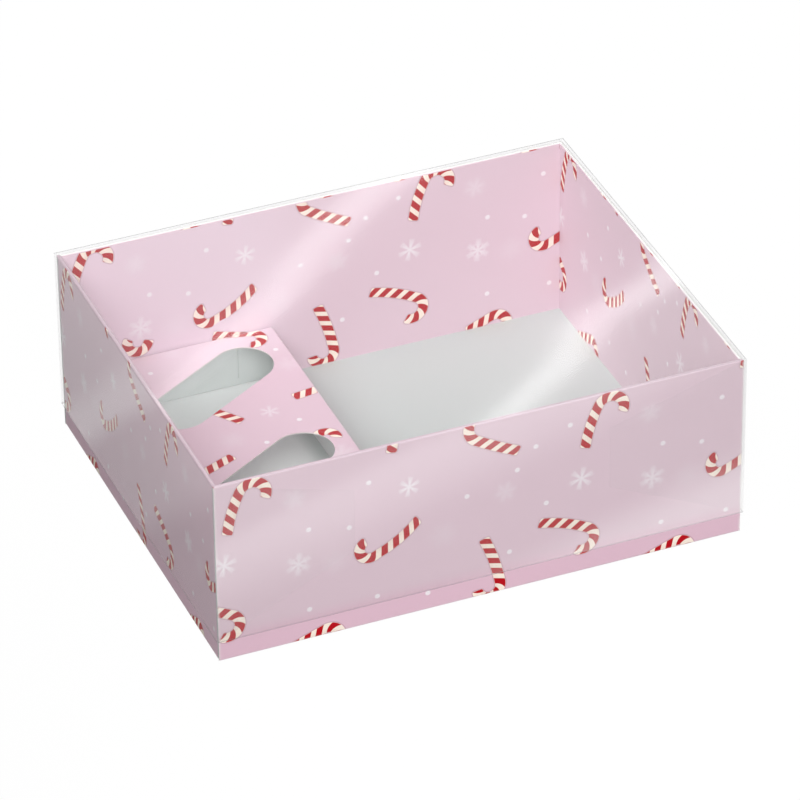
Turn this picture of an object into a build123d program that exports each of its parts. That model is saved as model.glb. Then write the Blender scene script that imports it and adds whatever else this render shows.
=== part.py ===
"""Folded card sweet box: a double-walled tray, a slotted step insert and a clear lift-off lid.

Millimetres. The origin is the middle of the underside, +X runs along the box, +Y to its back, +Z up.
Each of the three sheets is creased into panels, and each panel is one solid with its own bent crease.
"""
import os
from math import cos, radians, sin

from build123d import *

# Tray, over its outer walls
tray_length = 198.3
tray_depth = 159.1
tray_height = 73.45

# Sheets
card = 0.45  # printed board of the tray and the insert
film = 0.25  # clear sheet of the lid
card_crease = 0.15  # inside radius of a crease in the board
film_crease = 0.20  # inside radius of a crease in the clear sheet

# Clearances
layer_play = 0.05  # between two layers of one sheet
lid_play = 0.30  # from the lid's corner tabs to the tray
insert_play = 0.40  # from the insert to the tray's inner walls
seat_gap = 0.30  # lid on the tray's rims, and insert on the tray's floor
lock_play = 0.10  # round a lock tab in its notch

# Tray details
corner_tab_length = 20.0
corner_tab_taper = 4.0
lock_tab_width = 16.0
lock_tab_inset = 34.0  # from the end of an inner wall to the middle of its lock tab

# Insert
insert_length = 79.35
insert_height = 21.85
glue_tab_length = 14.0
glue_tab_taper = 3.0

# Slots through the insert's deck
slot_length = 60.5
slot_width = 22.5
slot_angle = 31.0  # degrees from +X
slot_side_margin = 7.6  # to the deck's right edge
slot_back_margin = 8.2  # to the deck's back edge
slot_pitch = 60.0  # along Y, from slot to slot
slot_count = 2

# Lid
skirt_height = 65.5
lid_tab_length = 52.0
lid_tab_top_drop = 15.0
lid_tab_foot_rise = 25.0

# Worked out from the sizes above
card_bend = card_crease + card
film_bend = film_crease + film
wall_gap = card + 2 * layer_play  # holds a corner tab
double_wall = wall_gap + 2 * card
wall_top = tray_height - double_wall / 2  # where the rims begin
inner_length = tray_length - 2 * double_wall
inner_depth = tray_depth - 2 * double_wall
lid_overhang = 2 * film + layer_play + lid_play
lid_length = tray_length + 2 * lid_overhang
lid_depth = tray_depth + 2 * lid_overhang
lid_top_height = tray_height + seat_gap + film
insert_depth = inner_depth - 2 * insert_play
insert_left = -inner_length / 2 + insert_play
deck_height = card + seat_gap + insert_height

SIDES = {"front": 0, "right": 90, "back": 180, "left": 270}  # degrees round +Z from the front


def flap_section(length, sheet, crease):
    """A panel seen on its edge: out of its parent panel, a quarter turn round the crease, then straight up.

    The sharp outside corner of the fold is at 0, 0. The parent lies along +X and the flap along +Y.
    """
    bend = crease + sheet
    centre = (bend, bend)
    edges = [
        CenterArc(centre, bend, 180, 90),
        Line((bend, 0), (bend, sheet)),
        CenterArc(centre, crease, 180, 90),
        Line((sheet, bend), (sheet, length)),
        Line((sheet, length), (0, length)),
        Line((0, length), (0, bend)),
    ]
    return make_face(edges)


def turned(part, side):
    """Turns a piece made for the front to another side of the box."""
    return Rot(0, 0, SIDES[side]) * part


def panel(length, depth, sheet, crease):
    """A flat panel at the bottom of a folded sheet, as far as its four creases."""
    bend = crease + sheet
    return extrude(Rectangle(length - 2 * bend, depth - 2 * bend), sheet)


def wall(run, reach, height, sheet, crease):
    """A front wall that folds up from a panel's edge, its outer face at -reach along Y."""
    edge = Plane(origin=(-run / 2, -reach, 0), x_dir=(0, 1, 0), z_dir=(1, 0, 0))
    return extrude(edge * flap_section(height, sheet, crease), run)


def side_run(depth, sheet, crease):
    """How long a side wall is, whose ends turn into tabs behind the front and back walls."""
    return depth - 2 * (sheet + layer_play + sheet + crease)


def corner_tab(length, depth, height, sheet, crease, reach, top_drop, foot_rise):
    """The tab at the front left corner: round the left wall's end, then flat behind the front wall.

    Its free end is shorter than its crease, by top_drop above and foot_rise below.
    """
    bend = crease + sheet
    left = -length / 2
    behind_front = -depth / 2 + sheet + layer_play
    plan = Plane(origin=(left, behind_front, height), x_dir=(0, 1, 0), z_dir=(0, 0, -1))
    strip = extrude(plan * flap_section(reach, sheet, crease), height - bend)
    end = left + reach
    outline = Polyline(
        (left, bend),
        (left + bend, bend),
        (end, bend + foot_rise),
        (end, height - top_drop),
        (left + bend, height),
        (left, height),
        close=True,
    )
    return strip & extrude(Plane.XZ * make_face(outline), depth / 2)


def four_corners(tab):
    """One tab for each corner, from the one at the front left."""
    front_right = mirror(tab, about=Plane.YZ)
    return {
        "front_left": tab,
        "front_right": front_right,
        "back_left": mirror(tab, about=Plane.XZ),
        "back_right": mirror(front_right, about=Plane.XZ),
    }


def run_and_reach(length, depth, side):
    """The length of a side of a rectangle, and how far that side lies from the middle."""
    if side in ("front", "back"):
        return length, depth / 2
    return depth, length / 2


def inner_wall_run(side):
    """Front and back inner walls stop at the side walls' creases, the others between those two."""
    if side in ("front", "back"):
        return tray_length - 2 * (card_bend + layer_play)
    return inner_depth - 2 * layer_play


def lock_tab_places(side):
    """Where the two lock tabs of an inner wall are, along the wall."""
    place = inner_wall_run(side) / 2 - lock_tab_inset
    return (-place, place)


def tray_floor():
    """The floor, with a notch for each lock tab at its edges."""
    floor = panel(tray_length, tray_depth, card, card_crease)
    notch_width = lock_tab_width + 2 * lock_play
    for side in SIDES:
        reach = run_and_reach(tray_length, tray_depth, side)[1]
        notch_depth = double_wall + lock_play
        notch = extrude(Rectangle(notch_width, notch_depth, align=(Align.CENTER, Align.MIN)), card)
        for place in lock_tab_places(side):
            floor -= turned(Pos(place, -reach) * notch, side)
    return floor


def tray_wall(side):
    """An outer wall, from the floor's crease up to the rim."""
    run, reach = run_and_reach(tray_length, tray_depth, side)
    if side in ("left", "right"):
        run = side_run(tray_depth, card, card_crease)
    return turned(wall(run, reach, wall_top, card, card_crease), side)


def tray_rim(side):
    """A rolled rim, half a tube along the wall's top, mitred at both corners."""
    run, reach = run_and_reach(tray_length, tray_depth, side)
    middle = (0, -reach + double_wall / 2, wall_top)
    section = Circle(double_wall / 2) - Circle(wall_gap / 2)
    section &= Rectangle(double_wall, double_wall, align=(Align.CENTER, Align.MIN))
    along_wall = Plane(origin=middle, x_dir=(0, 1, 0), z_dir=(1, 0, 0))
    roll = extrude(along_wall * section, run / 2, both=True)
    mitre = Polyline(
        (-run / 2, -reach),
        (run / 2, -reach),
        (run / 2 - double_wall, -reach + double_wall),
        (-run / 2 + double_wall, -reach + double_wall),
        close=True,
    )
    return turned(roll & extrude(make_face(mitre), tray_height), side)


def tray_inner_wall(side):
    """An inner wall, from the rim down to the floor, with two lock tabs through the floor's notches."""
    reach = run_and_reach(tray_length, tray_depth, side)[1]
    run = inner_wall_run(side)
    outline = Pos(0, card) * Rectangle(run, wall_top - card, align=(Align.CENTER, Align.MIN))
    tab = Rectangle(lock_tab_width, card - lock_play, align=(Align.CENTER, Align.MIN))
    for place in lock_tab_places(side):
        outline += Pos(place, lock_play) * tab
    inner_face = Plane(origin=(0, -reach + double_wall, 0), x_dir=(1, 0, 0), z_dir=(0, -1, 0))
    return turned(extrude(inner_face * outline, card), side)


def insert_slots():
    """The slots' outline on the deck, centred on the insert."""
    straight = slot_length - slot_width
    half_across = straight / 2 * cos(radians(slot_angle)) + slot_width / 2
    half_back = straight / 2 * sin(radians(slot_angle)) + slot_width / 2
    first_x = insert_length / 2 - slot_side_margin - half_across
    first_y = insert_depth / 2 - slot_back_margin - half_back
    slot = SlotCenterToCenter(straight, slot_width, rotation=slot_angle)
    return [Pos(first_x, first_y - i * slot_pitch) * slot for i in range(slot_count)]


def insert_pieces():
    """The insert, made with its deck at the bottom and its legs up, before it is turned over."""
    deck = panel(insert_length, insert_depth, card, card_crease)
    for slot in insert_slots():
        deck -= extrude(slot, card)
    ends = side_run(insert_depth, card, card_crease)
    leg = wall(insert_length, insert_depth / 2, insert_height, card, card_crease)
    end_leg = wall(ends, insert_length / 2, insert_height, card, card_crease)
    tab = corner_tab(insert_length, insert_depth, insert_height, card, card_crease,
                     glue_tab_length, glue_tab_taper, glue_tab_taper)
    tabs = four_corners(tab)
    return {
        "insert_deck": deck,
        "insert_front_leg": leg,
        "insert_back_leg": turned(leg, "back"),
        "insert_left_leg": turned(end_leg, "left"),
        "insert_step_wall": turned(end_leg, "right"),
        "insert_front_glue_tab": tabs["front_right"],
        "insert_back_glue_tab": tabs["back_right"],
    }


def lid_pieces():
    """The lid, made with its top at the bottom and its skirts up, before it is turned over."""
    ends = side_run(lid_depth, film, film_crease)
    skirt = wall(lid_length, lid_depth / 2, skirt_height, film, film_crease)
    end_skirt = wall(ends, lid_length / 2, skirt_height, film, film_crease)
    tab = corner_tab(lid_length, lid_depth, skirt_height, film, film_crease,
                     lid_tab_length, lid_tab_foot_rise, lid_tab_top_drop)
    pieces = {
        "lid_top": panel(lid_length, lid_depth, film, film_crease),
        "lid_front_skirt": skirt,
        "lid_back_skirt": turned(skirt, "back"),
        "lid_left_skirt": turned(end_skirt, "left"),
        "lid_right_skirt": turned(end_skirt, "right"),
    }
    for corner, piece in four_corners(tab).items():
        pieces[f"lid_{corner}_tab"] = piece
    return pieces


def turned_over(pieces, x, height):
    """Turns an open-topped sheet upside down, front staying front, with its panel's face at this height."""
    return {name: Pos(x, 0, height) * mirror(piece, about=Plane.XY) for name, piece in pieces.items()}


def tray_pieces():
    """The tray's floor, outer walls, rims, inner walls and corner tabs."""
    pieces = {"tray_floor": tray_floor()}
    for side in SIDES:
        pieces[f"tray_{side}_wall"] = tray_wall(side)
        pieces[f"tray_{side}_rim"] = tray_rim(side)
        pieces[f"tray_{side}_inner_wall"] = tray_inner_wall(side)
    tab = corner_tab(tray_length, tray_depth, wall_top, card, card_crease,
                     corner_tab_length, corner_tab_taper, corner_tab_taper)
    for corner, piece in four_corners(tab).items():
        pieces[f"tray_{corner}_tab"] = piece
    return pieces


def main():
    pieces = tray_pieces()
    pieces |= turned_over(insert_pieces(), insert_left + insert_length / 2, deck_height)
    pieces |= turned_over(lid_pieces(), 0, lid_top_height)
    os.makedirs("parts", exist_ok=True)
    for name, piece in pieces.items():
        solid = piece.solids()[0]
        solid.label = name
        export_step(solid, f"parts/{name}.step")


main()
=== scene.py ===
"""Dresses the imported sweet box: printed board, plain board, a clear film lid, a pale studio and a camera.

Metres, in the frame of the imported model: +X runs along the box, +Y to its back, +Z up. The print is drawn
in millimetres on each face by shader nodes. Run as a script, it registers its operators and calls them.
"""
from math import cos, hypot, pi, radians, sin

import bpy
import numpy as np
from bpy.props import FloatProperty, FloatVectorProperty, PointerProperty
from mathutils import Matrix, Vector


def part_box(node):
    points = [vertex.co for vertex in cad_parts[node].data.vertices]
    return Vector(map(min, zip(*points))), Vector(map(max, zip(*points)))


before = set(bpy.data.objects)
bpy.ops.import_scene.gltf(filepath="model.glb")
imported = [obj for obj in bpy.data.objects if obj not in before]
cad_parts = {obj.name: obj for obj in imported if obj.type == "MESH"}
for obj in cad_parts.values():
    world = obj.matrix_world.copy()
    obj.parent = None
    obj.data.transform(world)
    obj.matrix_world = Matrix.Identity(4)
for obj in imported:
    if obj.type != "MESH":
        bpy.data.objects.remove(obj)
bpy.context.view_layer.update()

bl_info = {
    "name": "Sweet box with a clear lid",
    "version": (1, 0, 0),
    "blender": (4, 5, 0),
    "location": "3D View > Sidebar > Sweet box",
    "description": "Printed card sweet box with a slotted step insert and a clear lift-off lid",
    "category": "Object",
}

MM = 0.001
PER_METRE = 1000.0  # millimetres
NODE_ROW = 14  # nodes in a row of the node editor, and the distances between them
NODE_STEP = (180, 220)
SIDES = ("front", "right", "back", "left")
CORNERS = ("front_left", "front_right", "back_left", "back_right")
OUTWARD = {"front": (0, -1, 0), "right": (1, 0, 0), "back": (0, 1, 0), "left": (-1, 0, 0)}
DIAGONAL = 1.41  # brings a flat face's share of a direction halfway to the next face back to 1

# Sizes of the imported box, in metres
WALL_LOW, WALL_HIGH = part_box("tray_front_rim")
HALF_LENGTH = WALL_HIGH[0]
HALF_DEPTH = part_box("tray_left_rim")[1][1]
RIM_TOP = WALL_HIGH[2]
RIM_FOOT = WALL_LOW[2]
DECK_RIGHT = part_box("insert_deck")[1][0]
SKIRT_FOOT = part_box("lid_front_skirt")[0][2]
LID_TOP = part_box("lid_top")[1][2]

# The print repeats along each wall, in millimetres. Side walls carry the same artwork, squeezed to fit.
REPEAT = 133.5
REPEAT_START = -75.3
SIDE_SQUEEZE = HALF_LENGTH / HALF_DEPTH
INNER_RISE = 2.0  # how much higher the artwork sits on the inner walls
INSERT_START = 20.0  # height in the artwork at which the insert's legs start

# Candy canes: hook's start x, y, heading of the shaft in degrees, shaft length, hook radius, bow
SHARED_CANES = (
    (43.2, 67.8, 74, 16.2, 5.2, 0.010),
    (-40.3, 28.7, -146, 19.4, 3.9, 0.013),
    (6.3, 4.5, -73, 20.6, 4.4, 0.006),
    (39.3, 18.4, -20, 19.2, 4.7, 0.009),
    (-2.3, 66.4, 152, 18.0, 5.5, 0.003),
)
WALL_CANES = (
    *SHARED_CANES,
    (-60.0, 2.5, 20, 18.0, 4.5, 0.0),
    (-30.9, 87.7, 80, 18.0, 5.0, 0.0),
)
BACK_WALL_CANES = (
    *SHARED_CANES,
    (-63.4, 2.0, 22, 11.0, 4.5, 0.0),
    (-30.9, 86.4, 80, 18.0, 5.0, 0.0),
)
SINGLE_BACK_WALL_CANES = (
    (-66.4, 25.4, -110, 1.5, 4.1, 0.0),
    (-27.2, 18.0, -16, 14.5, 3.9, 0.0),
)
DECK_CANES = (
    (-27.0, 76.6, -15, 18.0, 3.9, 0.0),
    (-9.8, 33.7, 8, 18.0, 4.0, 0.0),
    (-60.8, 38.7, 125, 18.0, 4.0, 0.0),
    (-78.0, -2.5, -157, 18.0, 4.0, 0.0),
    (-29.4, 3.6, 75, 12.0, 3.5, 0.0),
)
# Snowflakes: x, y, radius, turn in degrees, softness, strength, and 1 for side branches
WALL_FLAKES = (
    (-27.6, 54.0, 4.1, 20, 0.12, 0.85),
    (37.3, 39.8, 4.7, 17, 0.12, 0.80),
    (8.5, 42.0, 4.2, 10, 0.30, 0.40, 1.0),
    (-69.0, 32.8, 4.9, 25, 0.14, 0.70, 1.0),
    (-15.0, 30.0, 5.5, 0, 0.70, 0.25),
    (-70.0, 60.5, 4.2, 12, 0.60, 0.50),
    (-55.5, 30.0, 5.0, 30, 0.80, 0.25),
)
DECK_FLAKES = (
    (-39.0, 26.0, 3.8, 15, 0.20, 0.55),
    (-58.0, 14.0, 5.0, 0, 0.80, 0.30),
    (-22.0, 52.0, 4.6, 20, 0.60, 0.35),
    (-25.0, -9.0, 5.8, 10, 0.55, 0.50),
    (-58.0, 76.0, 4.5, 40, 0.60, 0.30),
)
WALL_DOTS = (
    (-65.0, 46.3), (-6.0, 44.0), (24.0, 33.0), (33.0, 63.5), (20.0, 58.0), (-42.5, 59.8),
    (10.0, 16.0), (-65.3, 12.6), (-40.0, 11.0), (-21.0, 7.0), (13.0, 50.0), (-50.0, 43.0),
)
DECK_DOTS = ((-22.3, 62.8), (-47.0, 8.0), (-70.0, 66.0), (-31.0, 17.0))

# Shape of a candy cane, in millimetres
CANE_WIDTH = 4.05
CANE_CORNER = 0.75
CANE_HOOK_TURN = radians(190)
STRIPE_PITCH = 4.85
STRIPE_SHARE = 0.55
STRIPE_SLANT = 0.62
STRIPE_INSET = 0.05
EDGE_SOFTNESS = 0.14
OUTLINE_OFFSET = 0.18
OUTLINE_WIDTH = 0.3
OUTLINE_STRENGTH = 0.45
CANE_SHADE = 0.25
CANE_MARGIN = 0.4  # clear ring round a cane in its disc

# Shape of a snowflake, as shares of its radius
ARM_START = 0.05
ARM_SPREAD = 0.2
BRANCH_START = 0.42
BRANCH_WIDTH = 0.07
BRANCH_REACH = 0.26
HEART = 0.2
FLAKE_FADE = 1.35
FLAKE_DISC = 1.4

# Dots, in millimetres
DOT_RADIUS = 1.15
DOT_SOFTNESS = 0.35
DOT_STRENGTH = 0.9

# How pale the pink is: 0 is the full ground, 1 the pale one and 2 the palest. The paleness is painted light,
# for the lid's whitish reflection over the print and, at 2, the bright band of the lid's top
INNER_PALE = 1.0
UNDER_LID_PAINTED_REFLECTION = {"front": 0.85, "right": 0.85, "back": 0.85, "left": 0.35}
UNDER_LID_REFLECTION_FADE = 4.0  # millimetres up from the skirt's foot
# Palest at the back left of the back inner wall and towards the back of the deck: painted light under the
# bright band of the lid's top
BACK_PAINTED_LIGHT_START = 10.0  # along the back inner wall, in millimetres
BACK_PAINTED_LIGHT_FADE = 40.0
DECK_PALE = 0.65
DECK_PAINTED_LIGHT_START = 0.050  # towards the back of the deck, in metres
DECK_PAINTED_LIGHT_FADE = 0.025

# Board
WEAR_WIDTH = 0.9  # rubbed upright edges and foot of a wall, in millimetres
FOOT_WEAR = 0.7
RUB_START = 0.25  # how much mottle a worn place needs before its print rubs off
RUB_GAIN = 1.6
CROWN_START = 0.45  # share of the rim's height at which its rolled top begins
CROWN_FADE = 0.25
PAINTED_LIGHT_FADE = 1 / 120  # metres under the insert's right edge over which the floor is lightened, as painted light
# Painted light: how much the plain board is lightened where it lies in shade under the insert
UNDER_INSERT_PAINTED_LIGHT = 1.0
PART_PAINTED_LIGHT = 0.35  # the insert's back leg and glue tabs
PRINTED = 1.0  # which side of the board faces out, from the printed to the plain one
UNPRINTED = -1.0
FIBRE_SCALE = (700, 1900, 1900)
FIBRE_TINT = 0.5
FIBRE_TINT_START = 0.35
MOTTLE_SCALE = 260.0
MOTTLE_TINT = 0.35
CLOUD_SCALE = 0.035
FINE_NOISE = (3.0, 0.6)  # detail and roughness
PLAIN_ROUGHNESS = 0.62
FIBRE_ROUGHNESS = 0.18
PRINT_SMOOTHNESS = 0.26
RUBBED_ROUGHNESS = 0.2
PRINT_FLATNESS = 0.7
PRINT_BUMP = 0.05
PLAIN_BUMP = 0.2
BUMP_HEIGHT = 0.0001
SHEET_IOR = 1.46
BOARD_SPECULAR = 0.15

# Clear film of each panel: the direction across its bands, its haze, tone and gloss at the start, the haze of
# its crease, and the steps across it. A step is its middle and half width in millimetres and how haze, tone
# and gloss change. The bands of haze and tone are painted reflections, light and dark; the gloss steps
# strengthen the film's real reflection in the same bands, and the crease's haze paints a dark line.
TOP_FILM = ((-0.612, 0.79, 0.0), (0.080, 0.45, 0.022), 0.0, (
    (-69.0, 8.0, -0.074, 0.55, 0.000),
    (42.6, 5.0, 0.018, 0.0, 0.004),
))
FRONT_FILM = ((-0.27, 0.0, 1.0), (0.085, 1.0, 0.090), 0.0, (
    (3.5, 12.0, 0.0, -1.0, -0.076),
    (55.0, 16.0, 0.0, 0.95, 0.012),
    (77.5, 5.0, 0.0, -0.6, -0.008),
))
SIDE_FILM = ((0.0, 0.857, 1.0), (0.04, 0.1, 0.000), 0.0, (
    (2.0, 10.0, -0.01, 0.43, 0.042),
    (54.0, 8.0, 0.0, 0.27, 0.095),
    (74.5, 9.0, 0.0, 0.0, -0.070),
))
BACK_FILM = ((0.27, 0.0, 1.0), (0.02, 1.0, 0.025), 0.35, (
    (55.0, 16.0, 0.01, 0.0, 0.02),
))
RIGHT_FILM = ((0.0, -0.857, 1.0), (0.02, 1.0, 0.025), 0.35, (
    (54.0, 8.0, 0.0, 0.0, 0.03),
    (74.5, 9.0, 0.0, 0.0, -0.02),
))
TAB_FILM = ((0.0, 0.0, 1.0), (0.02, 0.3, 0.004), 0.0, ())
# A dark line painted at the film's cut foot and, on the back and right, at its top crease: painted shade
CUT_EDGE = 0.0006
CUT_HAZE = 0.22
CREASE_RISE = 0.0005
LINE_DARKNESS = 4.0  # how fast the tone falls as a cut edge or crease gains haze
SWAY_SCALE = 14.0
WAVE_SCALE = 9.0
WAVE_HEIGHT = 0.004
EDGE_ON_POWER = 5.0
HAZE_ROUGHNESS = 0.45

# Stage, in metres. A lamp is its name, its place and the setting that holds its power.
LAMPS = (
    ("key_lamp", (-0.4, -1.25, 1.3), "key_power"),
    ("side_lamp", (-1.05, -0.15, 1.15), "side_power"),
    ("view_lamp", (-0.58, -1.45, 1.05), "view_power"),
    ("low_lamp", (-0.3, -1.7, 0.5), "low_power"),
)
LAMP_SIZE = 0.9
LAMP_TARGET = (0, 0, 0.04)
# Narrow lamps behind the box: name, place, direction, length, share of the width and of the power
STRIPS = (
    ("strip_lamp_left", (0.341, 1.046, 0.783), (-0.86, -0.48, 0.18), 0.28, 0.75, 0.9),
    ("strip_lamp_right", (0.481, 0.940, 0.794), (-0.825, -0.080, 0.540), 0.26, 0.64, 0.95),
)
FLOOR_SIZE = 8.0
FLOOR_DROP = 0.0002
FLOOR_GREY = (0.35, 0.35, 0.35)
FLOOR_WHITE = 1.03
FLOOR_WHITE_SHARE = 0.96
FLAG_X = -0.2
FLAG_LENGTH = 0.4
FLAG_HEIGHT = 0.15
FLAG_DARK = (0.02, 0.02, 0.02)
CAMERA_PLACE = (-0.65538, -1.6396, 1.22804)
CAMERA_RIGHT = (0.92544, -0.37873, -0.01107)
CAMERA_FORWARD = (0.30794, 0.76885, -0.56040)
SENSOR_WIDTH = 36.0


def linear(red, green, blue):
    """The linear colour of an sRGB colour given from 0 to 255."""
    parts = [c / 255 for c in (red, green, blue)]
    return tuple(c / 12.92 if c <= 0.04045 else ((c + 0.055) / 1.055) ** 2.4 for c in parts)


class Wire:
    """An output socket of a node tree. Sums and comparisons on it add their Math nodes."""

    def __init__(self, tree, socket):
        self.tree = tree
        self.socket = socket

    @classmethod
    def node(cls, tree, kind, settings=None, inputs=None, out=0):
        """Adds a node of this type, sets it up, then sets or links its inputs."""
        made = tree.nodes.new(kind)
        row, column = divmod(len(tree.nodes), NODE_ROW)
        made.location = (NODE_STEP[0] * column, -NODE_STEP[1] * row)
        for name, value in (settings or {}).items():
            setattr(made, name, value)
        for key, value in (inputs or {}).items():
            if isinstance(value, Wire):
                tree.links.new(value.socket, made.inputs[key])
            else:
                made.inputs[key].default_value = value
        return cls(tree, made.outputs[out] if made.outputs else None)

    def math(self, operation, *others, clamp=False):
        settings = {"operation": operation, "use_clamp": clamp}
        values = dict(enumerate((self, *others)))
        return Wire.node(self.tree, "ShaderNodeMath", settings, values)

    def _swapped(self, operation, other):
        settings = {"operation": operation}
        return Wire.node(self.tree, "ShaderNodeMath", settings, {0: other, 1: self})

    def __add__(self, other):
        return self.math("ADD", other)

    __radd__ = __add__

    def __sub__(self, other):
        return self.math("SUBTRACT", other)

    def __rsub__(self, other):
        return self._swapped("SUBTRACT", other)

    def __mul__(self, other):
        return self.math("MULTIPLY", other)

    __rmul__ = __mul__

    def __truediv__(self, other):
        return self.math("DIVIDE", other)

    def __rtruediv__(self, other):
        return self._swapped("DIVIDE", other)

    def __neg__(self):
        return self * -1.0

    def __gt__(self, other):
        return self.math("GREATER_THAN", other)

    def __lt__(self, other):
        return self.math("LESS_THAN", other)

    def __abs__(self):
        return self.math("ABSOLUTE")

    def clamped(self):
        return self.math("ADD", 0.0, clamp=True)


def vector_math(tree, operation, *values, out=0):
    return Wire.node(tree, "ShaderNodeVectorMath", {"operation": operation}, dict(enumerate(values)), out)


def parts_of(tree, vector):
    """The three numbers of a vector."""
    split = Wire.node(tree, "ShaderNodeSeparateXYZ", inputs={0: vector})
    return [Wire(tree, socket) for socket in split.socket.node.outputs]


def joined(tree, x, y, z=0.0):
    return Wire.node(tree, "ShaderNodeCombineXYZ", inputs={0: x, 1: y, 2: z})


def mixed(tree, share, low, high):
    """The colour low where share is 0 and high where it is 1."""
    settings = {"data_type": "RGBA"}
    colours = [c if isinstance(c, Wire) or len(c) == 4 else (*c, 1.0) for c in (low, high)]
    return Wire.node(tree, "ShaderNodeMix", settings, {0: share, 6: colours[0], 7: colours[1]}, 2)


def noise(tree, place, scale, detail=2.0, roughness=0.5):
    inputs = {"Vector": place, "Scale": scale, "Detail": detail, "Roughness": roughness}
    return Wire.node(tree, "ShaderNodeTexNoise", inputs=inputs)


def object_place(tree):
    return Wire.node(tree, "ShaderNodeTexCoord", out="Object")


def smooth(share):
    """An even S-shaped step from 0 to 1: 3 t t - 2 t t t."""
    return share * share * (3.0 - 2.0 * share)


def bumped(tree, height, strength, distance):
    """A normal tilted by a height."""
    inputs = {"Strength": strength, "Distance": distance, "Height": height}
    return Wire.node(tree, "ShaderNodeBump", inputs=inputs)


def finish_surface(tree, shader):
    Wire.node(tree, "ShaderNodeOutputMaterial", inputs={"Surface": shader})


def new_group(name, inputs, outputs):
    """An empty node group with these sockets; returns the tree, its inputs and its output node."""
    tree = bpy.data.node_groups.new(name, "ShaderNodeTree")
    for label, kind in inputs.items():
        tree.interface.new_socket(label, in_out="INPUT", socket_type=kind)
    for label, kind in outputs.items():
        tree.interface.new_socket(label, in_out="OUTPUT", socket_type=kind)
    entry = tree.nodes.new("NodeGroupInput")
    leave = tree.nodes.new("NodeGroupOutput")
    return tree, [Wire(tree, entry.outputs[label]) for label in inputs], leave


def link_results(tree, leave, results):
    """Links a group's results to the sockets of its output node that have their names."""
    for label, wire in results.items():
        tree.links.new(wire.socket, leave.inputs[label])


def use_group(tree, name, inputs):
    """Adds a node group and returns its results by name."""
    first = Wire.node(tree, "ShaderNodeGroup", {"node_tree": bpy.data.node_groups[name]}, inputs)
    return {socket.name: Wire(tree, socket) for socket in first.socket.node.outputs}


def cane_group():
    """How far a point is inside a candy cane, and inside one of its red stripes.

    The shaft runs along y from -length to 0, bowed by bow*y*(y+length). The hook is an arc of the given
    radius round (radius, 0). e is the distance across from the middle line and s the distance along it.
    A stripe is where (s + length + slant*e) / pitch has a fraction below the stripe share. Across runs from
    -1 to 1 over the width, and Outline is a thin line just outside the cane.
    """
    numbers = {"Place": "NodeSocketVector", "Shape": "NodeSocketVector"}
    results = {label: "NodeSocketFloat" for label in ("Cover", "Red", "Across", "Outline")}
    tree, (place, shape), leave = new_group("Candy cane", numbers, results)
    x, y, _ = parts_of(tree, place)
    length, radius, bow = parts_of(tree, shape)
    from_centre = x - radius
    on_hook = (y > 0.0).math("MAXIMUM", x > radius)
    across_shaft = x - bow * y * (y + length)
    turn = (-y).math("ARCTAN2", from_centre) + pi
    across_hook = radius - (from_centre * from_centre + y * y).math("SQRT")
    along_hook = radius * turn
    across = across_shaft + on_hook * (across_hook - across_shaft)
    along = y + on_hook * (along_hook - y)
    hook_end = radius * CANE_HOOK_TURN
    half_run = (hook_end + length) * 0.5
    middle = (hook_end - length) * 0.5
    past_side = abs(across) - (CANE_WIDTH / 2 - CANE_CORNER)
    past_end = abs(along - middle) - half_run + CANE_CORNER
    side = past_side.math("MAXIMUM", 0.0)
    end = past_end.math("MAXIMUM", 0.0)
    past_both = past_side.math("MAXIMUM", past_end)
    inside = CANE_CORNER - ((side * side + end * end).math("SQRT") + past_both.math("MINIMUM", 0.0))
    cover = (inside / EDGE_SOFTNESS + 0.5).clamped()
    stripes = (along + length + across * STRIPE_SLANT) / STRIPE_PITCH
    phase = (stripes + (0.5 - STRIPE_SHARE / 2)).math("FRACT")
    into_stripe = (STRIPE_SHARE / 2 - abs(phase - 0.5)) * STRIPE_PITCH
    red = into_stripe.math("MINIMUM", inside - STRIPE_INSET) / EDGE_SOFTNESS + 0.5
    outline = (1.0 - abs(inside + OUTLINE_OFFSET) / OUTLINE_WIDTH).clamped()
    across = across / (CANE_WIDTH / 2)
    link_results(tree, leave, {"Cover": cover, "Red": red.clamped(), "Across": across, "Outline": outline})


def flake_group():
    """How much of a six-armed snowflake of radius 1 covers a point.

    The angle is folded into one of six equal wedges, so that px runs along the nearest arm and py away from
    it. The arm is py < start + spread*px out to px = 1. A branch leaves it at 60 degrees, from the branch's
    start, where branches is 1. A round heart joins the arms.
    """
    numbers = {"Place": "NodeSocketVector", "Look": "NodeSocketVector"}
    tree, (place, look), leave = new_group("Snowflake", numbers, {"Cover": "NodeSocketFloat"})
    x, y, _ = parts_of(tree, place)
    softness, strength, branches = parts_of(tree, look)
    reach = (x * x + y * y).math("SQRT")
    sixth = pi / 3
    fold = ((y.math("ARCTAN2", x) / sixth + 0.5).math("FRACT") - 0.5) * sixth
    px = reach * fold.math("COSINE")
    py = abs(reach * fold.math("SINE"))
    arm = (py - ARM_START - px * ARM_SPREAD).math("MAXIMUM", px - 1.0)
    off_branch = abs((px - BRANCH_START) * sin(sixth) - py * cos(sixth)) - BRANCH_WIDTH + (1.0 - branches)
    branch = off_branch.math("MAXIMUM", py - BRANCH_REACH)
    nearest = arm.math("MINIMUM", branch).math("MINIMUM", reach - HEART)
    cover = (0.5 - nearest / softness).clamped()
    fade = (FLAKE_FADE - reach).clamped()
    link_results(tree, leave, {"Cover": cover * strength * fade})


def add_scaled(tree, share, value, total):
    """total + share * value, on vectors."""
    scaled = Wire.node(tree, "ShaderNodeVectorMath", {"operation": "SCALE"}, {0: value, "Scale": share})
    return scaled if total is None else vector_math(tree, "ADD", total, scaled)


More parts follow.
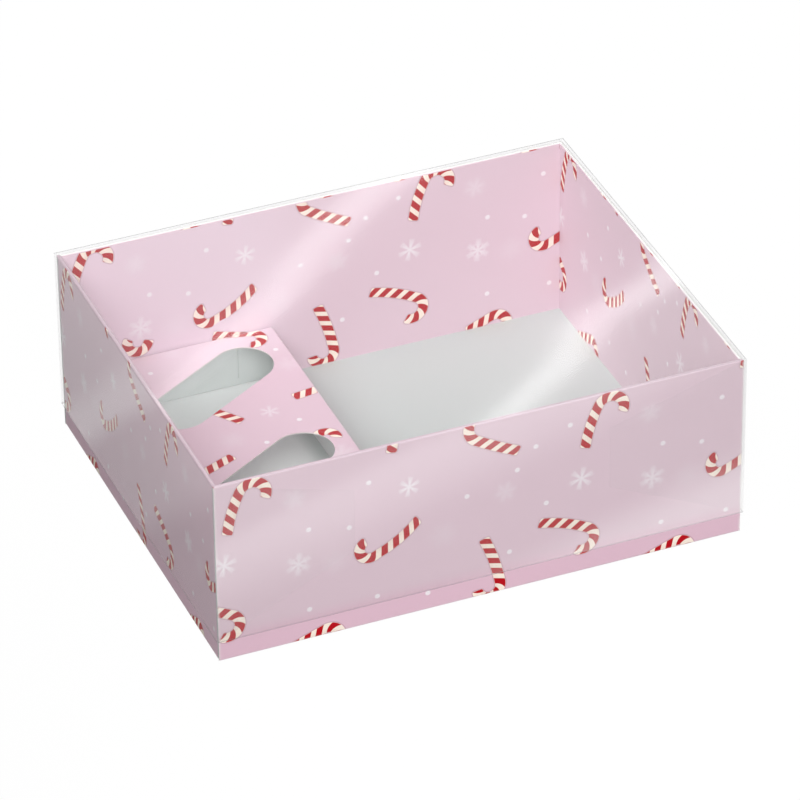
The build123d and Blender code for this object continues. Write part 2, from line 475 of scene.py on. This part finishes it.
def placed(tree, place, x, y, turn, size):
    """Where a point of the face is in a motif's own frame."""
    settings = {"vector_type": "TEXTURE"}
    inputs = {"Vector": place, "Location": (x, y, 0), "Rotation": (0, 0, turn), "Scale": (size, size, 1)}
    return Wire.node(tree, "ShaderNodeMapping", settings, inputs)


def gathered(tree, place, motifs):
    """The place in the frame of whichever motif is near, that motif's three numbers, and whether one is.

    A motif is its frame's x, y, turn and size, the middle and radius of the disc that it is drawn in, and
    its three numbers. Discs don't overlap, so a sum over all motifs holds the one that is near.
    """
    own, facts, near = None, None, None
    for x, y, turn, size, middle, reach, numbers in motifs:
        local = placed(tree, place, x, y, turn, size)
        close = vector_math(tree, "DISTANCE", place, (*middle, 0), out="Value") < reach
        own = add_scaled(tree, close, local, own)
        facts = add_scaled(tree, close, numbers, facts)
        near = close if near is None else near + close
    return own, facts, near


def cane_motif(x, y, heading, length, radius, bow):
    """A cane whose hook starts at x, y, with the disc that just holds it."""
    ahead = Vector((cos(radians(heading)), sin(radians(heading))))
    beside = Vector((ahead.y, -ahead.x))
    middle = Vector((x, y)) + beside * radius + ahead * (radius - length) / 2
    reach = hypot(radius + CANE_WIDTH / 2, (radius + length + CANE_WIDTH) / 2) + CANE_MARGIN
    return x, y, radians(heading - 90), 1.0, middle, reach, (length, radius, bow)


def flake_motif(x, y, radius, turn, softness, strength, branches=0.0):
    return x, y, radians(turn), radius, (x, y), FLAKE_DISC * radius, (softness, strength, branches)


def print_group(name, canes, flakes, dots, single_canes=(), repeats=True):
    """The printed face: pink ground, snowflakes, dots and candy canes, from a place in millimetres.

    Single canes don't repeat, and in their discs the repeated ones are left out. Pale says how pale the pink
    is, from 0 to 2: painted light for the lid's whitish reflection.
    """
    numbers = {"Place": "NodeSocketVector", "Pale": "NodeSocketFloat"}
    tree, (place, pale), leave = new_group(name, numbers, {"Colour": "NodeSocketColor"})
    settings = bpy.context.scene.sweet_box_print
    x, y, _ = parts_of(tree, place)
    if repeats:
        x = ((x - REPEAT_START) / REPEAT).math("FRACT") * REPEAT + REPEAT_START
    spot = joined(tree, x, y)

    own, facts, near = gathered(tree, spot, [cane_motif(*cane) for cane in canes])
    if single_canes:
        motifs = [cane_motif(*cane) for cane in single_canes]
        single_own, single_facts, single_near = gathered(tree, place, motifs)
        rest = 1.0 - single_near
        own = add_scaled(tree, rest, own, single_own)
        facts = add_scaled(tree, rest, facts, single_facts)
        near = near * rest + single_near
    near = near.clamped()
    cane = use_group(tree, "Candy cane", {"Place": own, "Shape": facts})
    outline = cane["Outline"] * near * OUTLINE_STRENGTH
    cane_shade = (cane["Across"].math("MAXIMUM", 0.0) * CANE_SHADE).clamped()

    own, facts, near_flake = gathered(tree, spot, [flake_motif(*flake) for flake in flakes])
    snow = use_group(tree, "Snowflake", {"Place": own, "Look": facts})["Cover"] * near_flake.clamped()
    nearest = None
    for dot_x, dot_y in dots:
        away = vector_math(tree, "DISTANCE", spot, (dot_x, dot_y, 0), out="Value")
        nearest = away if nearest is None else nearest.math("MINIMUM", away)
    dot = ((DOT_RADIUS - nearest) / DOT_SOFTNESS).clamped() * DOT_STRENGTH

    cloud = noise(tree, place, CLOUD_SCALE)
    ground = mixed(tree, cloud, settings.ground, settings.ground_shade)
    # Paler grounds are painted light: the lid's whitish reflection over the print
    ground = mixed(tree, pale, ground, settings.pale_painted_light_ground)
    # The palest ground is painted light, at the back left
    ground = mixed(tree, (pale - INNER_PALE).clamped(), ground, settings.palest_painted_light_ground)
    snowed = mixed(tree, snow.math("MAXIMUM", dot), ground, settings.snow)
    outlined = mixed(tree, outline, snowed, settings.outline)
    cream = mixed(tree, cane_shade, settings.cream, settings.cream_shade)
    caned = mixed(tree, cane["Cover"] * near, outlined, cream)
    link_results(tree, leave, {"Colour": mixed(tree, cane["Red"] * near, caned, settings.stripe)})


def board_group():
    """Coated board: the print on its outside, plain grey board inside and a pale core at the cut edges.

    Facing is the share of the normal that points to the printed side. Worn rubs the print off in spots, and
    Bright lightens the plain side, which is painted light where it lies in shade. Fibres are a fine stretched
    noise and mottle a coarser one.
    """
    inputs = {"Print": "NodeSocketColor", "Facing": "NodeSocketFloat", "Worn": "NodeSocketFloat",
              "Bright": "NodeSocketFloat"}
    outputs = {"Colour": "NodeSocketColor", "Roughness": "NodeSocketFloat", "Height": "NodeSocketFloat"}
    tree, (ink, facing, worn, bright), leave = new_group("Board", inputs, outputs)
    settings = bpy.context.scene.sweet_box_board
    place = object_place(tree)
    fibre_place = Wire.node(tree, "ShaderNodeMapping", inputs={"Vector": place, "Scale": FIBRE_SCALE})
    fibres = noise(tree, fibre_place, 1.0, *FINE_NOISE)
    mottle = noise(tree, place, MOTTLE_SCALE, *FINE_NOISE)
    printed = facing > PRINTED / 2
    plain = facing < UNPRINTED / 2
    shade = (fibres - FIBRE_TINT_START) * FIBRE_TINT + mottle * MOTTLE_TINT
    grey = mixed(tree, shade, settings.plain, settings.plain_shade)
    # Painted light: Bright lightens the plain side where it lies in shade
    grey = mixed(tree, bright, grey, settings.plain_painted_light)
    edge = mixed(tree, fibres, settings.core, settings.core_shade)
    rubbed = (worn * (mottle * RUB_GAIN - RUB_START)).clamped()
    faded = mixed(tree, rubbed, ink, settings.core)
    colour = mixed(tree, printed, mixed(tree, plain, edge, grey), faded)
    rough = PLAIN_ROUGHNESS + fibres * FIBRE_ROUGHNESS
    rough = rough - printed * (PRINT_SMOOTHNESS - rubbed * RUBBED_ROUGHNESS)
    height = fibres * (1.0 - printed * PRINT_FLATNESS)
    link_results(tree, leave, {"Colour": colour, "Roughness": rough, "Height": height})


def new_material(name):
    material = bpy.data.materials.new(name)
    material.use_nodes = True
    material.node_tree.nodes.clear()
    return material, material.node_tree


def finish_board(tree, ink, facing, worn=0.0, bump=PRINT_BUMP, bright=0.0):
    """Ends a board material with its Principled shader."""
    board = use_group(tree, "Board", {"Print": ink, "Facing": facing, "Worn": worn, "Bright": bright})
    normal = bumped(tree, board["Height"], bump, BUMP_HEIGHT)
    values = {"Base Color": board["Colour"], "Roughness": board["Roughness"], "Normal": normal,
              "IOR": SHEET_IOR, "Specular IOR Level": BOARD_SPECULAR}
    finish_surface(tree, Wire.node(tree, "ShaderNodeBsdfPrincipled", inputs=values))


def facing_share(tree, direction):
    """How far the surface's own normal points in a direction, from -1 to 1."""
    normal = Wire.node(tree, "ShaderNodeTexCoord", out="Normal")
    return vector_math(tree, "DOT_PRODUCT", normal, tuple(Vector(direction).normalized()), out="Value")


def facing_out(tree, side, up):
    """The same for a wall's outer face and for the panel it folds from, above it (1) or below (-1)."""
    return facing_share(tree, Vector(OUTWARD[side]) + Vector((0, 0, up))) * DIAGONAL


def print_place(tree, side, inside=False):
    """The place on a wall's print in millimetres, left to right as the printed face is read, and up."""
    x, y, z = parts_of(tree, object_place(tree))
    along = y * PER_METRE * SIDE_SQUEEZE if side in ("left", "right") else x * PER_METRE
    runs_back = side in ("back", "left")
    if runs_back != inside:
        along = -along
    return along, z * PER_METRE


def printed_ink(tree, group, place, pale=0.0):
    """The colour of a print at a place."""
    return use_group(tree, group, {"Place": place, "Pale": pale})["Colour"]


def wear(along, up):
    """How rubbed a wall is: most at its upright edges, less at its foot."""
    edges = (abs(along) - (HALF_LENGTH / MM - WEAR_WIDTH)).clamped()
    return (edges + (WEAR_WIDTH - up).clamped() * FOOT_WEAR).clamped()


def outer_wall_material(side):
    """Printed board of an outer wall, whose pink is paler under the lid than below its skirt: painted
    reflection of the lid.
    """
    material, tree = new_material(f"Printed board {side} outer")
    along, up = print_place(tree, side)
    # Painted reflection: the pink turns paler above the skirt's foot, where the lid covers the wall
    pale = ((up - SKIRT_FOOT / MM) / UNDER_LID_REFLECTION_FADE).clamped() * UNDER_LID_PAINTED_REFLECTION[side]
    ink = printed_ink(tree, "Wall print", joined(tree, along, up), pale)
    finish_board(tree, ink, facing_out(tree, side, -1), wear(along, up))
    return material


def inner_wall_material(side):
    """Printed board of an inner wall, whose pink is paler as painted light for the lid's whitish reflection,
    and palest at the back left.
    """
    material, tree = new_material(f"Printed board {side} inner")
    along, up = print_place(tree, side, inside=True)
    group, pale = "Wall print", INNER_PALE
    if side == "back":
        group = "Back wall print"
        # Painted light: palest towards the back left
        pale = smooth(((BACK_PAINTED_LIGHT_START - along) / BACK_PAINTED_LIGHT_FADE).clamped()) + INNER_PALE
    ink = printed_ink(tree, group, joined(tree, along, up - INNER_RISE), pale)
    finish_board(tree, ink, facing_share(tree, -Vector(OUTWARD[side])), wear(along, up))
    return material


def rim_material(side):
    """A rolled rim: the print runs up to the roll, whose top is darkened along the front and left as painted
    shade, and white along the back and right as a painted highlight of the lid's crease.
    """
    material, tree = new_material(f"Printed board {side} rim")
    along, up = print_place(tree, side)
    # The rim's pink is as pale as under the lid: painted reflection
    ink = printed_ink(tree, "Wall print", joined(tree, along, up), UNDER_LID_PAINTED_REFLECTION[side])
    height_share = (up - RIM_FOOT / MM) / ((RIM_TOP - RIM_FOOT) / MM)
    crown = ((height_share - CROWN_START) / CROWN_FADE).clamped()
    settings = bpy.context.scene.sweet_box_print
    # Painted light: a darker roll on the front and left as painted shade, white on the back and right as a
    # painted highlight
    edge = settings.painted_rim_highlight if side in ("back", "right") else settings.rim_painted_shade
    finish_board(tree, mixed(tree, crown, ink, edge), PRINTED)
    return material


def floor_material():
    """The tray's floor: plain grey board above, lightened under the insert as painted light, and print below.
    """
    material, tree = new_material("Plain board floor")
    x, y, _ = parts_of(tree, object_place(tree))
    ink = printed_ink(tree, "Wall print", joined(tree, -x * PER_METRE, y * PER_METRE))
    # Painted light: the floor is lightened under the insert, where it lies in shade
    lightened = smooth(((DECK_RIGHT - x) / PAINTED_LIGHT_FADE).clamped())
    finish_board(tree, ink, facing_share(tree, (0, 0, -1)), bump=PLAIN_BUMP, bright=lightened)
    return material


def deck_material():
    """The insert's deck: print above, its pink pale and palest towards the back as painted light, plain board
    below lightened as painted light, and a pale cut edge round the slots.
    """
    material, tree = new_material("Printed board deck")
    x, y, _ = parts_of(tree, object_place(tree))
    # Painted light: the deck's pink is pale, and palest towards the back
    pale = smooth(((y - DECK_PAINTED_LIGHT_START) / DECK_PAINTED_LIGHT_FADE).clamped()) + DECK_PALE
    ink = printed_ink(tree, "Deck print", joined(tree, x * PER_METRE, y * PER_METRE), pale)
    # Painted light: the plain underside is lightened
    finish_board(tree, ink, facing_share(tree, (0, 0, 1)), bright=UNDER_INSERT_PAINTED_LIGHT)
    return material


def insert_side_material(side):
    """A leg of the insert or its step wall: print outside, pale as painted light, and plain board inside,
    lightened as painted light.
    """
    material, tree = new_material(f"Printed board insert {side}")
    along, up = print_place(tree, side)
    # Pale pink as inside the box: painted light
    ink = printed_ink(tree, "Wall print", joined(tree, along, up + INSERT_START), INNER_PALE)
    # Painted light: the plain inside is lightened, less on the back leg
    bright = PART_PAINTED_LIGHT if side == "back" else UNDER_INSERT_PAINTED_LIGHT
    finish_board(tree, ink, facing_out(tree, side, 1), bright=bright)
    return material


def plain_material(name, bright):
    """Board that never shows its print, such as the tabs inside the walls; bright lightens it as painted
    light where it lies in shade.
    """
    material, tree = new_material(name)
    settings = bpy.context.scene.sweet_box_board
    finish_board(tree, (*settings.plain, 1.0), UNPRINTED, bump=PLAIN_BUMP, bright=bright)
    return material


def film_material(name, slope, start, crease, steps):
    """Clear film: see-through, with milky haze in bands of painted reflection, painted dark lines at its cut
    edges and creases, and a gloss that grows edge on.

    Haze, its tone and the gloss change in even S-shaped steps as slope . place, in millimetres, grows.
    """
    material, tree = new_material(name)
    settings = bpy.context.scene.sweet_box_film
    place = object_place(tree)
    sway = (noise(tree, place, SWAY_SCALE, 1.0) - 0.5) * settings.sway
    across = vector_math(tree, "DOT_PRODUCT", place, slope, out="Value") * PER_METRE + sway
    # The steps paint reflections as light and dark bands of haze
    levels = list(start)
    for middle, half, *changes in steps:
        step = smooth(((across - middle) / (2 * half) + 0.5).clamped())
        levels = [step * change + level if change else level for level, change in zip(levels, changes)]
    haze, tone, gloss = levels
    height = parts_of(tree, place)[2]
    # Painted shade: a dark line along the cut foot and the crease
    cut = ((SKIRT_FOOT + CUT_EDGE - height) / CUT_EDGE).clamped() * CUT_HAZE
    fold = ((height - LID_TOP + CREASE_RISE) / CREASE_RISE).clamped() * crease
    line = cut.math("MAXIMUM", fold)
    haze = haze + line
    tone = (1.0 - line * LINE_DARKNESS).clamped() * tone

    wave = noise(tree, place, WAVE_SCALE, 1.0, 0.4)
    normal = bumped(tree, wave, settings.wave_strength, WAVE_HEIGHT)
    edge_on = Wire.node(tree, "ShaderNodeLayerWeight", inputs={"Blend": 0.5, "Normal": normal}, out="Facing")
    shine = edge_on.math("POWER", EDGE_ON_POWER) * settings.edge_gloss + gloss
    clear = Wire.node(tree, "ShaderNodeBsdfTransparent", inputs={"Color": (1.0, 1.0, 1.0, 1.0)})
    # The haze colour runs from dark to light across the bands: painted reflections
    haze_with_painted_reflection = mixed(tree, tone, settings.dark_haze_painted_reflection, settings.bright_haze_painted_reflection)
    milky = Wire.node(tree, "ShaderNodeBsdfPrincipled", inputs={
        "Base Color": haze_with_painted_reflection, "Roughness": HAZE_ROUGHNESS, "Normal": normal, "IOR": SHEET_IOR})
    glossy = Wire.node(tree, "ShaderNodeBsdfPrincipled", inputs={
        "Base Color": (*settings.mirror, 1.0), "Metallic": 1.0, "Roughness": settings.gloss_roughness,
        "Normal": normal})
    body = Wire.node(tree, "ShaderNodeMixShader", inputs={0: haze, 1: clear, 2: milky})
    finish_surface(tree, Wire.node(tree, "ShaderNodeMixShader", inputs={0: shine, 1: body, 2: glossy}))
    return material


def give(node, material):
    """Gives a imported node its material."""
    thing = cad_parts[node]
    thing.data.materials.clear()
    thing.data.materials.append(material)


def matte(tree, colour):
    return Wire.node(tree, "ShaderNodeBsdfDiffuse", inputs={"Color": (*colour, 1.0)})


def flag_material():
    """The matte dark of a studio flag, which keeps light off one side."""
    material, tree = new_material("Stage flag")
    finish_surface(tree, matte(tree, FLAG_DARK))
    return material


def seen_white(tree):
    """1 for the rays that show the background: straight from the camera, or by way of gloss or film."""
    first = Wire.node(tree, "ShaderNodeLightPath", out="Is Camera Ray")
    rays = first.socket.node.outputs
    seen = first.math("MAXIMUM", Wire(tree, rays["Is Glossy Ray"]))
    return seen.math("MAXIMUM", Wire(tree, rays["Is Transmission Ray"]))


def stage_floor_material():
    """White to the camera and to gloss, but a plain grey that is lit and shaded for the object."""
    material, tree = new_material("Stage floor")
    lit = matte(tree, FLOOR_GREY)
    glow = Wire.node(tree, "ShaderNodeEmission", inputs={"Color": (1, 1, 1, 1), "Strength": FLOOR_WHITE})
    share = seen_white(tree) * FLOOR_WHITE_SHARE
    finish_surface(tree, Wire.node(tree, "ShaderNodeMixShader", inputs={0: share, 1: lit, 2: glow}))
    return material


def colour_setting(name, description, red, green, blue):
    """A colour setting, whose default is given as sRGB from 0 to 255."""
    return FloatVectorProperty(
        name=name, description=description, subtype="COLOR", min=0, max=1, default=linear(red, green, blue))


def watts_setting(name, description, default, highest=500):
    """The setting of a lamp's power, in watts."""
    description += ", in watts"
    return FloatProperty(name=name, description=description, min=0, max=highest, default=default)


class PrintSettings(bpy.types.PropertyGroup):
    """Colours of the print."""
    ground: colour_setting("Ground", "Pink ground of the print", 228, 193, 208)
    ground_shade: colour_setting("Ground shade", "Slightly deeper pink that clouds the ground", 224, 189, 205)
    # The pale and palest grounds are painted light: the lid's whitish reflection over the print, palest under
    # the bright band of the lid's top
    pale_painted_light_ground: colour_setting("Pale ground", "Thinner pink ink inside and on the deck", 227, 203, 214)
    palest_painted_light_ground: colour_setting("Thin ground", "Thinnest pink ink, at the back left inside", 234, 214, 225)
    snow: colour_setting("Snow", "Snowflakes and dots", 246, 240, 244)
    cream: colour_setting("Cane", "Light stripes of the canes", 255, 241, 226)
    cream_shade: colour_setting("Cane shade", "Shaded edge of the canes", 214, 176, 170)
    stripe: colour_setting("Stripe", "Red stripes of the canes", 184, 3, 22)
    outline: colour_setting("Outline", "Thin dark line round the canes", 150, 84, 104)
    # The rim colours are painted light: the darker roll on the front and left rims is painted shade, and the
    # white on the back and right rims is a painted highlight of the lid's crease
    rim_painted_shade: colour_setting("Rolled edge", "Ink along the front and left rims", 204, 181, 192)
    painted_rim_highlight: colour_setting(
        "Cracked edge", "White board where the back and right rims have lost their ink", 240, 239, 237)


class BoardSettings(bpy.types.PropertyGroup):
    """Colours of the unprinted board."""
    plain: colour_setting("Inside", "Plain inside of the board", 203, 211, 208)
    plain_shade: colour_setting("Inside shade", "Fibres on the plain inside", 193, 201, 198)
    # Painted light: the plain board is lightened where it lies in shade under the insert
    plain_painted_light: colour_setting("Covered inside", "Plain inside that the insert keeps clean", 246, 248, 247)
    core: colour_setting("Cut edge", "Core of the board where it is cut or rubbed", 244, 240, 238)
    core_shade: colour_setting("Cut edge shade", "Fibres of the core", 222, 216, 212)


class FilmSettings(bpy.types.PropertyGroup):
    """The clear lid."""
    # The two haze colours paint the film's reflections: light in the bright bands, dark between them
    bright_haze_painted_reflection: FloatVectorProperty(
        name="Haze colour", description="Colour of the haze in the bright bands", subtype="COLOR",
        min=0, max=1, default=(0.95, 0.95, 0.95))
    dark_haze_painted_reflection: FloatVectorProperty(
        name="Dark haze colour", description="Colour of the haze between the bright bands", subtype="COLOR",
        min=0, max=1, default=(0.25, 0.25, 0.25))
    mirror: FloatVectorProperty(
        name="Mirror colour", description="Colour of the film's reflections", subtype="COLOR",
        min=0, max=1, default=(0.97, 0.97, 0.97))
    sway: FloatProperty(
        name="Sway", description="How far the bands sway from straight, in millimetres",
        min=0, max=60, default=4.0)
    edge_gloss: FloatProperty(
        name="Edge-on gloss", description="How much more the film reflects where it is seen edge on",
        subtype="FACTOR", min=0, max=1, default=0.1)
    gloss_roughness: FloatProperty(
        name="Gloss roughness", description="How soft the film's reflections are", subtype="FACTOR",
        min=0, max=1, default=0.055)
    wave_strength: FloatProperty(
        name="Waviness", description="How much the film waves", subtype="FACTOR",
        min=0, max=1, default=0.15)


class StageSettings(bpy.types.PropertyGroup):
    """Lamps and camera."""
    focal_length: FloatProperty(
        name="Focal length", description="Focal length of the camera, in millimetres",
        min=20, max=500, default=267.7)
    key_power: watts_setting("Key light", "Power of the large lamp high at the front", 14.8)
    side_power: watts_setting("Side light", "Power of the lamp high at the left", 10.0)
    view_power: watts_setting("View light", "Power of the lamp by the camera", 6.6)
    low_power: watts_setting("Low light", "Power of the lamp low at the front", 2.8)
    strip_power: watts_setting("Strip lights", "Power of each narrow lamp that the lid mirrors", 0.07, 50)
    strip_width: FloatProperty(
        name="Strip width", description="Width of the narrow lamps", subtype="DISTANCE",
        min=0.005, max=1, default=0.022)
    sky: FloatProperty(
        name="Ambient light", description="Strength of the light from all round",
        min=0, max=2, default=0.4)


class SWEETBOX_OT_patterns(bpy.types.Operator):
    """Make the print and board node groups that the materials share"""
    bl_idname = "sweet_box.patterns"
    bl_label = "Print patterns"

    def execute(self, context):
        cane_group()
        flake_group()
        print_group("Wall print", WALL_CANES, WALL_FLAKES, WALL_DOTS)
        print_group("Back wall print", BACK_WALL_CANES, WALL_FLAKES, WALL_DOTS, SINGLE_BACK_WALL_CANES)
        print_group("Deck print", DECK_CANES, DECK_FLAKES, DECK_DOTS, repeats=False)
        board_group()
        return {"FINISHED"}


class SWEETBOX_OT_tray_walls(bpy.types.Operator):
    """Print the tray's outer and inner walls"""
    bl_idname = "sweet_box.tray_walls"
    bl_label = "Tray walls"

    def execute(self, context):
        for side in SIDES:
            give(f"tray_{side}_wall", outer_wall_material(side))
            give(f"tray_{side}_inner_wall", inner_wall_material(side))
        return {"FINISHED"}


class SWEETBOX_OT_tray_rims(bpy.types.Operator):
    """Finish the tray's rolled rims"""
    bl_idname = "sweet_box.tray_rims"
    bl_label = "Tray rims"

    def execute(self, context):
        for side in SIDES:
            give(f"tray_{side}_rim", rim_material(side))
        return {"FINISHED"}


class SWEETBOX_OT_tray_floor(bpy.types.Operator):
    """Finish the tray's plain floor and the tabs hidden in its walls"""
    bl_idname = "sweet_box.tray_floor"
    bl_label = "Tray floor"

    def execute(self, context):
        give("tray_floor", floor_material())
        plain = plain_material("Plain board", 0.0)
        for corner in CORNERS:
            give(f"tray_{corner}_tab", plain)
        return {"FINISHED"}


class SWEETBOX_OT_insert(bpy.types.Operator):
    """Finish the step insert"""
    bl_idname = "sweet_box.insert"
    bl_label = "Step insert"

    def execute(self, context):
        give("insert_deck", deck_material())
        give("insert_step_wall", insert_side_material("right"))
        for side in ("front", "back", "left"):
            give(f"insert_{side}_leg", insert_side_material(side))
        # Painted light: the glue tabs are partly lightened, like the back leg
        plain = plain_material("Plain board insert", PART_PAINTED_LIGHT)
        for side in ("front", "back"):
            give(f"insert_{side}_glue_tab", plain)
        return {"FINISHED"}


class SWEETBOX_OT_lid(bpy.types.Operator):
    """Finish the clear lid"""
    bl_idname = "sweet_box.lid"
    bl_label = "Clear lid"

    def execute(self, context):
        panels = {"top": TOP_FILM, "front_skirt": FRONT_FILM, "back_skirt": BACK_FILM,
                  "left_skirt": SIDE_FILM, "right_skirt": RIGHT_FILM}
        for panel, film in panels.items():
            give(f"lid_{panel}", film_material("Clear film " + panel.replace("_", " "), *film))
        tabs = film_material("Clear film tabs", *TAB_FILM)
        for corner in CORNERS:
            give(f"lid_{corner}_tab", tabs)
        for node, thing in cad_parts.items():
            if node.startswith("lid_"):
                thing.visible_shadow = False
                thing.visible_diffuse = False
        return {"FINISHED"}


def add_flat_sheet(name, corner, first, second):
    """A flat rectangle, with points at corner + s*first + t*second for s and t of 0 and 1."""
    s, t = np.meshgrid((0.0, 1.0), (0.0, 1.0), indexing="ij")
    points = np.array(corner) + s[..., None] * np.array(first) + t[..., None] * np.array(second)
    mesh = bpy.data.meshes.new(name)
    mesh.from_pydata(points.reshape(-1, 3), [], [(0, 2, 3, 1)])
    sheet = bpy.data.objects.new(name, mesh)
    bpy.context.scene.collection.objects.link(sheet)
    return sheet


def add_lamp(name, place, width, height, power, along=(1, 0, 0)):
    """A rectangular soft lamp at a place, facing the box, its width along a direction."""
    data = bpy.data.lights.new(name, "AREA")
    data.shape = "RECTANGLE"
    data.size = width
    data.size_y = height
    data.energy = power
    lamp = bpy.data.objects.new(name, data)
    back = (Vector(place) - Vector(LAMP_TARGET)).normalized()
    side = (Vector(along) - back * back.dot(Vector(along))).normalized()
    turn = Matrix((side, back.cross(side), back)).transposed().to_4x4()
    lamp.matrix_world = Matrix.Translation(place) @ turn
    bpy.context.scene.collection.objects.link(lamp)


def set_sky(strength):
    """Pale light from all round, which the camera and gloss see as white."""
    world = bpy.data.worlds.new("Studio")
    bpy.context.scene.world = world
    world.use_nodes = True
    tree = world.node_tree
    tree.nodes.clear()
    level = strength + seen_white(tree) * (1.0 - strength)
    glow = Wire.node(tree, "ShaderNodeBackground", inputs={"Color": (1, 1, 1, 1), "Strength": level})
    Wire.node(tree, "ShaderNodeOutputWorld", inputs={"Surface": glow})


def add_camera(focal_length):
    """The camera at the photograph's viewing angle."""
    data = bpy.data.cameras.new("camera")
    data.lens = focal_length
    data.sensor_width = SENSOR_WIDTH
    camera = bpy.data.objects.new("camera", data)
    right, forward = Vector(CAMERA_RIGHT), Vector(CAMERA_FORWARD)
    turn = Matrix((right, right.cross(forward), -forward)).transposed().to_4x4()
    camera.matrix_world = Matrix.Translation(CAMERA_PLACE) @ turn
    bpy.context.scene.collection.objects.link(camera)
    bpy.context.scene.camera = camera


class SWEETBOX_OT_stage(bpy.types.Operator):
    """Set up the pale floor, the lamps and the camera"""
    bl_idname = "sweet_box.stage"
    bl_label = "Studio stage"

    def execute(self, context):
        settings = context.scene.sweet_box_stage
        corner = (-FLOOR_SIZE / 2, -FLOOR_SIZE / 2, -FLOOR_DROP)
        floor = add_flat_sheet("stage_floor", corner, (FLOOR_SIZE, 0, 0), (0, FLOOR_SIZE, 0))
        floor.data.materials.append(stage_floor_material())
        corner = (FLAG_X, -FLAG_LENGTH / 2, 0)
        flag = add_flat_sheet("stage_flag", corner, (0, FLAG_LENGTH, 0), (0, 0, FLAG_HEIGHT))
        flag.data.materials.append(flag_material())
        flag.visible_camera = False
        set_sky(settings.sky)
        for name, place, power_setting in LAMPS:
            add_lamp(name, place, LAMP_SIZE, LAMP_SIZE, getattr(settings, power_setting))
        for name, place, along, length, width_share, power_share in STRIPS:
            width = width_share * settings.strip_width
            add_lamp(name, place, length, width, power_share * settings.strip_power, along)
        add_camera(settings.focal_length)
        context.scene.view_settings.view_transform = "Standard"
        return {"FINISHED"}


class SWEETBOX_PT_panel(bpy.types.Panel):
    """Lists the steps that dress the box"""
    bl_idname = "SWEETBOX_PT_panel"
    bl_label = "Sweet box"
    bl_space_type = "VIEW_3D"
    bl_region_type = "UI"
    bl_category = "Sweet box"

    def draw(self, context):
        for step in STEPS:
            self.layout.operator(step.bl_idname)
        for group in SETTINGS:
            settings = getattr(context.scene, group)
            for name in settings.__annotations__:
                self.layout.prop(settings, name)


STEPS = (
    SWEETBOX_OT_patterns,
    SWEETBOX_OT_tray_walls,
    SWEETBOX_OT_tray_rims,
    SWEETBOX_OT_tray_floor,
    SWEETBOX_OT_insert,
    SWEETBOX_OT_lid,
    SWEETBOX_OT_stage,
)
SETTINGS = {
    "sweet_box_print": PrintSettings,
    "sweet_box_board": BoardSettings,
    "sweet_box_film": FilmSettings,
    "sweet_box_stage": StageSettings,
}
CLASSES = (*SETTINGS.values(), *STEPS, SWEETBOX_PT_panel)


def register():
    for each in CLASSES:
        bpy.utils.register_class(each)
    for name, group in SETTINGS.items():
        setattr(bpy.types.Scene, name, PointerProperty(type=group))


def unregister():
    for name in SETTINGS:
        delattr(bpy.types.Scene, name)
    for each in reversed(CLASSES):
        bpy.utils.unregister_class(each)


def main():
    register()
    for step in STEPS:
        group, name = step.bl_idname.split(".")
        getattr(getattr(bpy.ops, group), name)()


if __name__ == "__main__":
    main()
